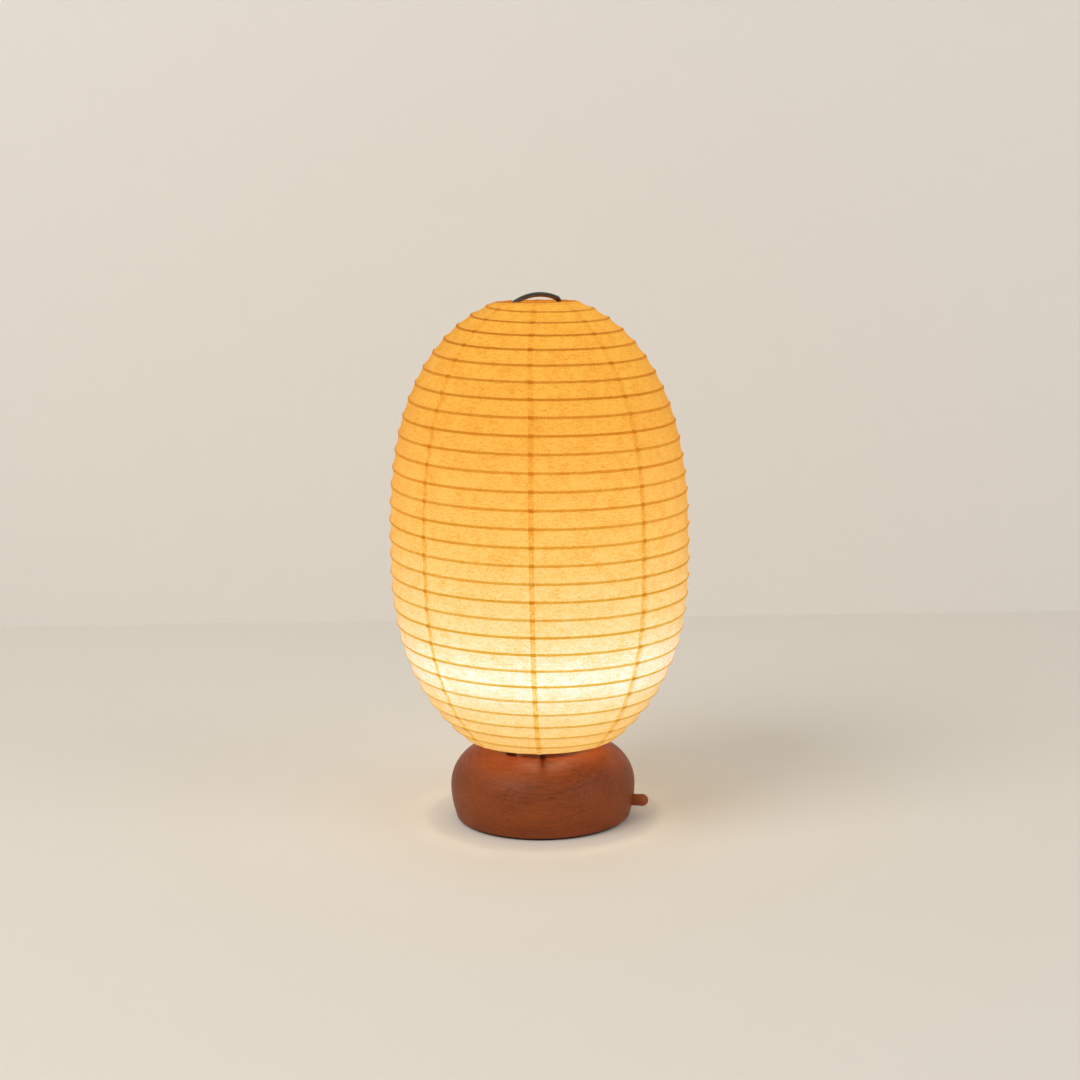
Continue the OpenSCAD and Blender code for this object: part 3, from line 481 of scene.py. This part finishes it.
def mouth_hoop():
    """The ring in the mouth's hem, bent from split bamboo, with the mouth's lean."""
    spans, sides = 96, 12
    radius, height, _, _ = on_former(mouth_ring_length, mouth_ring_out)
    points = []
    for k in range(spans):
        turn = 2 * math.pi * k / spans
        swell = 1.0 + 0.08 * noise.noise((math.cos(turn) * 2.0, math.sin(turn) * 2.0, 5.0))
        for side in range(sides):
            angle = 2 * math.pi * side / sides
            r = radius + math.cos(angle) * mouth_ring_thickness / 2 * swell
            z = height + math.sin(angle) * mouth_ring_thickness / 2 * swell
            across = r * math.sin(turn)
            points.append((r * math.cos(turn), across, leaned(z, across, mouth_ring_length)))
    faces = tube_faces(spans, sides, closed=True)
    return new_piece("mouth_hoop", np.array(points) * millimetre, faces, bamboo.material)


hoop = mouth_hoop()
hoop.data.shade_smooth()
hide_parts("mouth_ring")
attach(hoop, "shade")


def wound_strand():
    """One strand from hem to hem, whose section swells and wobbles a little as split bamboo does."""
    steps_per_turn, sides = 60, 10
    count = int((outline_length - strand_end - strand_end) / turn_pitch * steps_per_turn)
    lengths = strand_end + turn_pitch * np.arange(count + 1) / steps_per_turn
    turns = np.radians(strand_turn + 360.0 * lengths / turn_pitch)
    inset = paper_thickness + strand_gap + strand_thickness / 2
    points = []
    for k in range(count + 1):
        wobble = 0.12 * noise.noise((0.35 * k / steps_per_turn * 12.0, 3.1, 0.0))
        swell = 1.0 + 0.1 * noise.noise((k * 0.11, 7.7, 1.3))
        radius, height, normal_r, normal_z = on_former(lengths[k] + wobble, -inset)
        for side in range(sides):
            angle = 2 * math.pi * side / sides
            out = math.cos(angle) * strand_thickness / 2 * swell
            down = math.sin(angle) * strand_width / 2 * swell
            r = radius + normal_r * out + normal_z * down
            z = height + normal_z * out - normal_r * down
            across = r * math.sin(turns[k])
            points.append((r * math.cos(turns[k]), across, leaned(z, across, lengths[k])))
    faces = tube_faces(count, sides)
    faces.append(tuple(range(sides)))
    faces.append(tuple(count * sides + s for s in reversed(range(sides))))
    faces = [tuple(reversed(face)) for face in faces]
    return new_piece("bamboo_winding", np.array(points) * millimetre, faces, bamboo.material)


strand = wound_strand()
strand.data.shade_smooth()
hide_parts("bamboo_strand")
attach(strand, "shade")


# Paper
# Eight gores of washi are pasted over the strand, each with one side lapped over its neighbour. The paper
# draws in between the turns as it dries, and both of its ends are folded round the rings as hems.
gore_count, first_seam = 8, -94.0
lap_width, lap_step = 3.1, 0.22
paper_draw, held_at_edges = 0.8, 3.0
mouth_fold = 1.02
foot_ring_length, foot_ring_out, foot_fold = outline_length - 1.4, -1.75, 1.7
hem_length = 4.2
bulb_height = 0.1035


def washi():
    """Lit washi, whose light is painted as a glow fixed to the paper: it follows the height, all round alike.
    """
    paper = Finish("washi_paper")
    uv = paper.add("UVMap", uv_map="gore").outputs["UV"]
    parts = paper.add("SeparateXYZ", {0: uv})
    turn, from_lap = parts.outputs["X"], parts.outputs["Y"]
    place = paper.place()
    height = paper.add("SeparateXYZ", {0: place}).outputs["Z"]
    flat = paper.add("CombineXYZ", {"X": from_lap, "Y": paper.math("MULTIPLY", turn, turn_pitch),
                                    "Z": paper.math("MULTIPLY", height, 5.0)}).outputs[0]
    # Painted shadow of the strand behind the paper, darker where a lap crosses it
    waver = paper.noise(place, 170.0, 3.0, 0.6)
    off_waver = paper.math("SUBTRACT", waver, 0.5)
    torn = paper.math("SUBTRACT", paper.noise(place, 520.0, 4.0, 0.65), 0.5)
    ragged = paper.math("MULTIPLY_ADD", torn, 1.9, from_lap)
    lap = paper.math("MULTIPLY", paper.span(ragged, lap_width + 0.2, lap_width - 0.35),
                     paper.span(from_lap, -0.15, 0.15))
    from_turn = paper.math("MULTIPLY", paper.math("PINGPONG", turn, 0.5), turn_pitch)
    blurred = paper.math("MULTIPLY_ADD", off_waver, 0.55, from_turn)
    blurred = paper.math("MULTIPLY_ADD", lap, -0.22, blurred)
    shadow_edge, shadow_core = 1.12, 0.34
    strand_shadow = paper.span(blurred, shadow_edge, shadow_core)
    strand_shadow = paper.math("MULTIPLY", strand_shadow, paper.span(waver, 0.2, 0.7, 0.8, 1.0))
    strand_shadow = paper.math("MULTIPLY", strand_shadow, paper.math("MULTIPLY_ADD", lap, 0.08, 1.0))
    shadow_depth = paper.noise(paper.stretched(place, (5.0, 5.0, 120.0)), 1.0, 1.0)
    strand_shadow = paper.math("MULTIPLY", strand_shadow, paper.span(shadow_depth, 0.36, 0.62, 0.84, 1.0))
    # Clouds, pulp, streaks and long fibres of the sheet
    cloud = paper.noise(place, 120.0, 4.0, 0.62)
    pulp = paper.noise(flat, 0.95, 4.0, 0.7)
    streak = paper.noise(paper.stretched(flat, (0.28, 1.25, 1.0)), 1.0, 3.0, 0.6, 0.4)
    fibres = 0.0
    for shift, scale, narrowing in ((0.0, 0.11, 0.7), (31.0, 0.2, 0.5), (77.0, 0.33, 0.6)):
        aside = (shift, -shift, shift * 0.5)
        moved = paper.add("VectorMath", {0: flat, 1: aside}, operation="ADD").outputs[0]
        field = paper.noise(paper.stretched(moved, (narrowing, 1.0, 1.0)), scale, 1.0, 0.5, 0.3)
        thread = paper.span(paper.math("ABSOLUTE", paper.math("SUBTRACT", field, 0.5)), 0.016, 0.0)
        broken = paper.span(paper.noise(moved, scale * 1.9, 1.0), 0.5, 0.62)
        fibres = paper.math("ADD", fibres, paper.math("MULTIPLY", thread, broken))
    dense = paper.math("MULTIPLY", paper.math("SUBTRACT", cloud, 0.5), 1.1)
    dense = paper.math("MULTIPLY_ADD", paper.math("SUBTRACT", pulp, 0.5), 2.1, dense)
    dense = paper.math("MULTIPLY_ADD", paper.math("SUBTRACT", streak, 0.5), 1.5, dense)
    dense = paper.math("MULTIPLY", dense, paper.span(height, 0.11, 0.2, 0.85, 1.6))
    dense = paper.math("MULTIPLY_ADD", fibres, 0.25, paper.math("ADD", dense, 0.3))
    # Painted shade of the laps: the doubled paper passes less of the painted glow, more so near each turn and
    # less towards the mouth
    below_turn = paper.math("FRACT", turn)
    paste = paper.math("ADD", paper.span(below_turn, 0.5, 0.05), paper.span(below_turn, 0.93, 0.99))
    lap_shade = paper.span(paper.noise(place, 560.0, 4.0, 0.7), 0.32, 0.68, 0.35, 1.15)
    lap_shade = paper.math("MULTIPLY", lap_shade, paper.math("MULTIPLY_ADD", paste, 0.35, 0.9))
    lap_shade = paper.math("MULTIPLY", lap_shade, paper.span(height, 0.18, 0.27, 1.0, 0.5))
    lap_shade = paper.math("MULTIPLY", lap_shade, lap)
    # Painted light: how level the bulb's light meets the sheet, which is alike all round at one height
    bulb_centre = (0.0, 0.0, bulb_height)
    from_bulb = paper.add("VectorMath", {0: place, 1: bulb_centre}, operation="SUBTRACT").outputs[0]
    away = paper.add("VectorMath", {0: from_bulb}, operation="NORMALIZE").outputs[0]
    sideways = paper.add("VectorMath", {0: away, 1: (1.0, 1.0, 0.0)}, operation="MULTIPLY").outputs[0]
    level = paper.add("VectorMath", {0: sideways}, operation="LENGTH").outputs["Value"]
    wide_light_band = paper.grey(paper.math("POWER", level, 9.0))
    near_light_band = paper.grey(paper.math("POWER", level, 60.0))
    # Painted glow by height, from the foot to the mouth, and the brighter painted zone beside the bulb
    low, high = foot_height * millimetre, mouth_height * millimetre
    at_foot, beside_bulb, at_middle = (0.95, 0.6, 0.19), (1.0, 0.72, 0.28), (0.96, 0.55, 0.12)
    at_shoulder, at_mouth = (0.86, 0.42, 0.05), (0.85, 0.42, 0.035)
    glow = paper.ramp(paper.span(height, low, high, kind="LINEAR"), [
        (0.0, at_foot), (0.2, beside_bulb), (0.5, at_middle), (0.75, at_shoulder), (1.0, at_mouth)])
    direct = paper.mix(1.0, rgba((0.05, 0.2, 0.32)), wide_light_band, "MULTIPLY")
    direct = paper.mix(1.0, direct, paper.mix(1.0, rgba((0.1, 0.16, 0.42)), near_light_band, "MULTIPLY"), "ADD")
    # What the sheet, its laps and the strand take from the light
    taken = paper.mix(dense, rgba((1.0, 1.0, 1.0)), rgba((0.89, 0.68, 0.35)))
    taken = paper.mix(lap_shade, taken, paper.mix(1.0, taken, rgba((0.87, 0.68, 0.3)), "MULTIPLY"))
    # The hem layer carries the painted shadow of the rings in the hems, and which face looks towards the bulb
    hem = paper.add("UVMap", uv_map="hem").outputs["UV"]
    hem_parts = paper.add("SeparateXYZ", {0: hem})
    ring_shadow, bulb_side = hem_parts.outputs["X"], hem_parts.outputs["Y"]
    # Colour of the painted shadows of the strand and the rings, by height
    shadow_colour = paper.ramp(paper.span(height, 0.18, 0.3, kind="LINEAR"), [
        (0.0, (0.67, 0.52, 0.1)), (0.35, (0.73, 0.51, 0.1)), (1.0, (0.57, 0.36, 0.0))])
    passed_with_shadows = paper.mix(paper.math("MAXIMUM", strand_shadow, ring_shadow), taken,
                      paper.mix(1.0, taken, shadow_colour, "MULTIPLY"))
    # The painted light of the bulb comes straight through, so it loses twice as much as the diffuse glow
    glow = paper.mix(1.0, glow, paper.mix(1.0, direct, passed_with_shadows, "MULTIPLY"), "ADD")
    glow = paper.mix(1.0, glow, passed_with_shadows, "MULTIPLY")
    # Painted light: the side towards the bulb is painted brighter and whiter, as if lit directly, but not
    # beside the base
    directly_lit = paper.mix(paper.span(height, 0.1, 0.2), rgba((0.7, 0.6, 0.4)), rgba((1.6, 1.35, 3.5)))
    directly_lit = paper.mix(1.0, glow, directly_lit, "MULTIPLY")
    glow = paper.mix(paper.span(bulb_side, 0.3, 0.7), glow, directly_lit)
    # The sheet's own colour is a dark brown under its painted glow, and the painted shadows of the strand,
    # rings and laps darken it too
    body = paper.mix(cloud, rgba((0.16, 0.083, 0.023)), rgba((0.19, 0.10, 0.03)))
    body = paper.mix(1.0, body, passed_with_shadows, "MULTIPLY")
    paper.set(Base_Color=body, Roughness=0.82, Specular_IOR_Level=0.25)
    paper.set(Emission_Color=glow, Emission_Strength=1.0)
    paper.set(Sheen_Weight=0.8, Sheen_Roughness=0.35, Sheen_Tint=rgba((1.0, 0.42, 0.08)))
    relief = paper.math("MULTIPLY_ADD", fibres, 0.5, paper.math("MULTIPLY_ADD", streak, 0.6, pulp))
    paper.bump(relief, 0.0005, 0.6)
    paper.material.cycles.emission_sampling = "NONE"
    return paper.material


washi_paper = washi()


ridge_height, ridge_width = 0.22, 0.75
seam_wander, seam_wave, wave_step, seam_gap = 0.5, 0.021, 2.4, 0.02
seam_askew, askew_until, askew_reach = -1.3, 90.0, 50.0
lap_columns = [0.0, 0.5, 1.4, 2.4, lap_width - 0.1, lap_width + 0.12]
open_columns = np.linspace(0.0, 1.0, 17)[1:]
row_steps = np.array([0.0, 0.045, 0.1, 0.2, 0.32, 0.44, 0.56, 0.68, 0.8, 0.9, 0.955])
row_turns = np.concatenate([k + row_steps for k in range(-2, 31)])
turn_above_strand, turn_below_strand = -2.5, 40.5


def seam_shift(lengths, wander):
    """Degrees by which a seam leaves its meridian: all are pasted a little askew near the mouth."""
    near_mouth = np.clip((askew_until - lengths) / askew_reach, 0.0, 1.0)
    askew = seam_askew * near_mouth * near_mouth * (3.0 - 2.0 * near_mouth)
    return askew + wander * np.sin(lengths * seam_wave)


def drawn_in(turn, lengths, place, phase):
    """How far out the sheet's middle lies: drawn in between turns, with a ridge on each, and creased."""
    nearest = phase + np.floor(place) * turn_pitch
    before = np.maximum(held_at_edges, nearest)
    after = np.minimum(outline_length - held_at_edges, nearest + turn_pitch)
    gap = after - before
    draw = paper_draw * (gap / turn_pitch) ** 2 * 4 * (lengths - before) * (after - lengths) / gap ** 2
    from_turn = (place - np.round(place)) * turn_pitch
    ridge = ridge_height * np.exp(-(from_turn / ridge_width) ** 2)
    # Creases from the drying paste fade out where the strand holds the paper
    loose = np.abs(np.sin(np.pi * place)) ** 0.7
    arc = np.radians(turn) * np.interp(lengths, former_lengths, former_radii)
    broad = np.array([noise.noise((a * 0.16, s * 0.10, 4.0)) for a, s in zip(arc, lengths)])
    narrow = np.array([noise.noise((a * 0.5, s * 0.22, 9.0)) for a, s in zip(arc, lengths)])
    return -paper_thickness / 2 - np.maximum(draw, 0.0) + ridge + (broad * 0.16 + narrow * 0.09) * loose


def with_hems(turn, lengths, place, out):
    """A column's middle line, from the hem inside the mouth round its ring to the hem round the foot ring."""
    # Three rows come before each fold, and three after it
    fold = np.radians(np.linspace(0.0, 180.0, 8))
    round_fold, rows = len(fold), len(lengths)
    mouth_lengths = mouth_ring_length - mouth_fold * np.sin(fold)
    foot_lengths = foot_ring_length + foot_fold * np.sin(fold)
    mouth_out = mouth_ring_out - mouth_fold * np.cos(fold)
    foot_out = foot_ring_out + foot_fold * np.cos(fold)
    to_foot, hem_end = outline_length - np.array([3.4, 2.7, 2.0]), outline_length - np.array([2.6, 3.8, 5.2])
    s_line = np.concatenate(([4.9, 3.4, 2.2], mouth_lengths, [1.9, 2.7, 3.4], lengths, to_foot, foot_lengths,
                             hem_end))
    out_line = np.concatenate(([mouth_ring_out - mouth_fold] * 3, mouth_out, [-0.42, -0.28, -0.19], out,
                               [-0.19, -0.3, -0.44], foot_out, [foot_ring_out - foot_fold] * 3))
    hem_rows = round_fold + 6
    turn_line = np.concatenate((np.full(hem_rows, turn[0]), turn, np.full(hem_rows, turn[-1])))
    place_line = np.concatenate((np.full(hem_rows, turn_above_strand), place,
                                 np.full(hem_rows, turn_below_strand)))
    # Painted shadow of the rings in the hems: dark over the mouth ring, faint over the foot ring
    ring_shadow = np.concatenate(([0.0, 0.0, 0.1], np.linspace(0.15, 1.5, round_fold), [0.9, 0.2, 0.0],
                                np.zeros(rows), [0.0, 0.05, 0.15], np.full(round_fold, 0.2), [0.1, 0.0, 0.0]))
    bulb_side = np.concatenate(([1.0] * 3, np.linspace(1.0, 0.0, round_fold), np.zeros(rows + 6),
                                np.linspace(0.0, 1.0, round_fold), [1.0] * 3))
    radius, height, _, _ = on_former(s_line, out_line)
    height = leaned(height, radius * np.sin(np.radians(turn_line)), s_line)
    return radius, height, turn_line, place_line, ring_shadow, bulb_side


def sheet_faces(rows, count):
    """Faces of a sheet with thickness, whose outer points come before its inner ones, column by column."""
    inside = rows * count
    faces = []
    for c in range(count - 1):
        for k in range(rows - 1):
            a, b = c * rows + k, (c + 1) * rows + k
            faces.append((a, a + 1, b + 1, b))
            faces.append((inside + a, inside + b, inside + b + 1, inside + a + 1))
    for k in range(rows - 1):
        a, b = k, (count - 1) * rows + k
        faces.append((a, inside + a, inside + a + 1, a + 1))
        faces.append((b, b + 1, inside + b + 1, inside + b))
    for c in range(count - 1):
        a, b = c * rows, (c + 1) * rows
        faces.append((a, b, inside + b, inside + a))
        a, b = a + rows - 1, b + rows - 1
        faces.append((a, inside + a, inside + b, b))
    return faces


def add_uv(mesh, name, across, along):
    """A UV layer from one pair of values for each point."""
    per_point = np.stack((across, along), -1)
    corners = np.zeros(len(mesh.loops), np.int32)
    mesh.loops.foreach_get("vertex_index", corners)
    layer = mesh.uv_layers.new(name=name)
    layer.data.foreach_set("uv", per_point[corners].astype(np.float32).ravel())


def merge_doubles(mesh):
    """Joins the rows of a gore that fell together at its hems."""
    work = bmesh.new()
    work.from_mesh(mesh)
    bmesh.ops.remove_doubles(work, verts=work.verts, dist=1e-6)
    bmesh.ops.dissolve_degenerate(work, edges=work.edges, dist=1e-7)
    work.to_mesh(mesh)
    work.free()


def gore(index):
    """One gore as a sheet with thickness: hem at the mouth, the turns, and hem at the foot."""
    start = first_seam + 360.0 / gore_count * index
    wander = seam_wander * math.sin(wave_step * index)
    next_wander = seam_wander * math.sin(wave_step * ((index + 1) % gore_count))
    whole_turns = math.floor((start - strand_turn) / 360.0)
    columns = []
    for column in range(len(lap_columns) + len(open_columns)):
        lengths = np.linspace(0.0, outline_length, len(row_turns))
        # A row's angle and its length along the outline depend on each other, and settle in three rounds
        for _ in range(3):
            radius = np.interp(lengths, former_lengths, former_radii)
            edge = start + seam_shift(lengths, wander)
            if column < len(lap_columns):
                turn = edge + np.degrees(lap_columns[column] / radius)
            else:
                lap_turn = np.degrees(lap_columns[-1] / radius)
                far_edge = start + 360.0 / gore_count - seam_gap + seam_shift(lengths, next_wander)
                share = open_columns[column - len(lap_columns)]
                turn = edge + lap_turn + (far_edge - edge - lap_turn) * share
            phase = turn_pitch * ((turn - strand_turn) / 360.0 - whole_turns)
            lengths = np.clip(phase + row_turns * turn_pitch, hem_length, outline_length - hem_length)
        place = (lengths - phase) / turn_pitch
        columns.append(with_hems(turn, lengths, place, drawn_in(turn, lengths, place, phase)))
    radius, height, turn, place, ring_shadow, bulb_side = (np.array(lines) for lines in zip(*columns))
    count, rows = radius.shape
    angle = np.radians(turn)
    # The two faces lie square to the middle line, and the outer one is thicker over the lap
    along_r, along_z = np.gradient(radius, axis=1), np.gradient(height, axis=1)
    size = np.maximum(np.hypot(along_r, along_z), 1e-9)
    side_r, side_z = -along_z / size, along_r / size
    lapped = len(lap_columns) - 1
    outer_half = paper_thickness / 2 + np.array([lap_step] * lapped + [0.0] * (count - lapped))[:, None]
    layers = []
    for half in (outer_half, -paper_thickness / 2):
        r, z = radius + side_r * half, height + side_z * half
        layers.append(np.stack((r * np.cos(angle), r * np.sin(angle), z), -1).reshape(-1, 3))
    points = np.concatenate(layers) * millimetre
    piece = new_piece("paper_gore_%d" % (index + 1), points, sheet_faces(rows, count), washi_paper)
    from_lap = np.radians(turn - turn[0]) * np.maximum(radius, 1.0)
    add_uv(piece.data, "gore", np.tile(place.ravel(), 2), np.tile(from_lap.ravel(), 2))
    add_uv(piece.data, "hem", np.tile(ring_shadow.ravel(), 2),
           np.concatenate((bulb_side.ravel(), 1.0 - bulb_side.ravel())))
    merge_doubles(piece.data)
    piece.data.shade_smooth()
    piece.data.set_sharp_from_angle(angle=math.radians(50))
    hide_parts("paper_panel_%d" % (index + 1))
    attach(piece, "shade")


for index in range(gore_count):
    gore(index)


# Floor, backdrop and light
# The lamp stands on a plain pale floor before a plain pale wall, under a broad soft light from above
# and to the left with a soft fill from the right.
def stage_plane(name, corners, paint):
    new_piece(name, corners, [(0, 1, 2, 3)], paint)


def seen_through_from_behind(material):
    """Lets a camera that stands behind the wall look through it."""
    g = Graph(material.node_tree)
    output = next(node for node in g.nodes if node.type == "OUTPUT_MATERIAL")
    painted = output.inputs["Surface"].links[0].from_socket
    backfacing = g.add("NewGeometry").outputs["Backfacing"]
    behind = g.math("MULTIPLY", backfacing, g.add("LightPath").outputs["Is Camera Ray"])
    shown = g.add("MixShader", {0: behind, 1: painted, 2: g.add("BsdfTransparent").outputs[0]}).outputs[0]
    g.links.new(shown, output.inputs["Surface"])


floor_paint = plain_finish("floor_paint", srgb(226, 221, 212), 0.75, 300.0, 0.015)
wall_paint = plain_finish("wall_paint", srgb(232, 228, 221), 0.75, 300.0, 0.015)
stage_plane("floor", [(-6, -4, 0), (6, -4, 0), (6, 4, 0), (-6, 4, 0)], floor_paint)
seen_through_from_behind(wall_paint)
stage_plane("wall", [(-6, 0.50, 0), (6, 0.56, 0), (6, 0.56, 5), (-6, 0.50, 5)], wall_paint)
world = bpy.data.worlds.new("soft_room")
bpy.context.scene.world = world
world.use_nodes = True
background = world.node_tree.nodes["Background"]
background.inputs["Color"].default_value = (1.0, 0.98, 0.95, 1.0)
background.inputs["Strength"].default_value = 0.5


lights_aim_at = Vector((0, 0, 0.15))


def soft_light(name, place, size, power, colour):
    data = bpy.data.lights.new(name, "AREA")
    data.shape = "DISK"
    data.size = size
    data.energy = power
    data.color = colour
    light = bpy.data.objects.new(name, data)
    bpy.context.scene.collection.objects.link(light)
    light.location = place
    light.rotation_euler = (lights_aim_at - light.location).to_track_quat("-Z", "Y").to_euler()


soft_light("key", (-1.1, -1.0, 1.7), 1.4, 21.0, (1.0, 0.98, 0.95))
soft_light("fill", (1.6, -0.9, 0.9), 1.2, 7.0, (0.96, 0.98, 1.0))

bpy.context.scene.view_settings.view_transform = "Standard"
